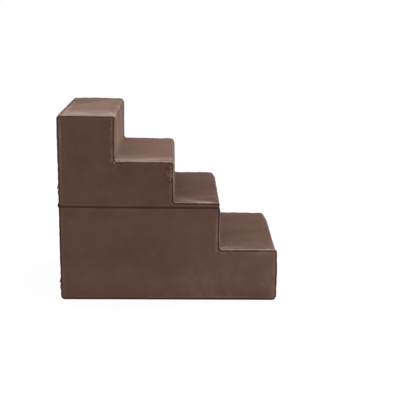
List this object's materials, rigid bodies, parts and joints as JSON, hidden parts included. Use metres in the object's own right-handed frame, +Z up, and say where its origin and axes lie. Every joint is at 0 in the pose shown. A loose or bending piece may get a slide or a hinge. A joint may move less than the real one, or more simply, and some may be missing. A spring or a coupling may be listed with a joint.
{
  "type": "pet stairs",
  "caption": "Stepped foam pet stairs in brown micro-suede: stacked foam blocks, hinged at the back, with zip-off covers.",
  "frame": {"origin": "middle of the base on the floor", "axes": "+X towards the lowest step, +Y to the right when climbing, +Z up"},
  "size_m": [0.6158, 0.406, 0.5227],
  "materials": {
    "suede": "brown micro-suede, brushed nap",
    "grip_base": "dark non-slip cloth with small rubber dots",
    "foam": "pale open-cell foam",
    "hook_and_loop": "dark hook-and-loop tape",
    "hinge_tape": "brown woven tape",
    "zip_tape": "dark brown woven zip tape",
    "zip_teeth": "moulded dark brown plastic",
    "zip_metal": "satin gunmetal"
  },
  "bodies": {
    "lower_steps": {"lower_base_foam": "foam", "lower_riser_foam": "foam", "lower_left_side_panel": "suede", "lower_right_side_panel": "suede", "lower_step_panel": "suede", "lower_back_top_panel": "suede", "lower_back_bottom_panel": "suede", "lower_base_panel": "grip_base", "lower_loop_strips": "hook_and_loop", "lower_hinge_leaf": "hinge_tape", "lower_zip_tapes": "zip_tape", "lower_zip_teeth": "zip_teeth", "lower_zip_stops": "zip_metal"},
    "upper_steps": {"upper_lip_foam": "foam", "upper_third_step_foam": "foam", "upper_top_step_foam": "foam", "upper_left_side_panel": "suede", "upper_right_side_panel": "suede", "upper_step_panel": "suede", "upper_back_top_panel": "suede", "upper_back_bottom_panel": "suede", "upper_base_panel": "suede", "upper_hook_strips": "hook_and_loop", "upper_hinge_leaf": "hinge_tape", "upper_zip_tapes": "zip_tape", "upper_zip_teeth": "zip_teeth", "upper_zip_stops": "zip_metal"},
    "lower_zip_slider": {"lower_zip_slider": "zip_metal"},
    "lower_zip_pull_tab": {"lower_zip_pull": "zip_metal"},
    "upper_zip_slider": {"upper_zip_slider": "zip_metal"},
    "upper_zip_pull_tab": {"upper_zip_pull": "zip_metal"}
  },
  "joints": [
    {"name": "upper_fold", "type": "hinge", "parent": "lower_steps", "child": "upper_steps", "pos_m": [-0.309, 0, 0.27045], "axis": [0, -1, 0], "range_deg": [0, 180]},
    {"name": "lower_zip_slide", "type": "slide", "parent": "lower_steps", "child": "lower_zip_slider", "axis": [0, 1, 0], "range_m": [0, 0.346], "deforming": ["lower_zip_teeth"]},
    {"name": "lower_zip_pull_swing", "type": "hinge", "parent": "lower_zip_slider", "child": "lower_zip_pull_tab", "pos_m": [-0.3092, -0.173, 0.045], "axis": [0, 0, 1], "range_deg": [0, 180]},
    {"name": "upper_zip_slide", "type": "slide", "parent": "upper_steps", "child": "upper_zip_slider", "axis": [0, 1, 0], "range_m": [0, 0.346], "deforming": ["upper_zip_teeth"]},
    {"name": "upper_zip_pull_swing", "type": "hinge", "parent": "upper_zip_slider", "child": "upper_zip_pull_tab", "pos_m": [-0.3092, -0.173, 0.31645], "axis": [0, 0, 1], "range_deg": [0, 180]}
  ]
}
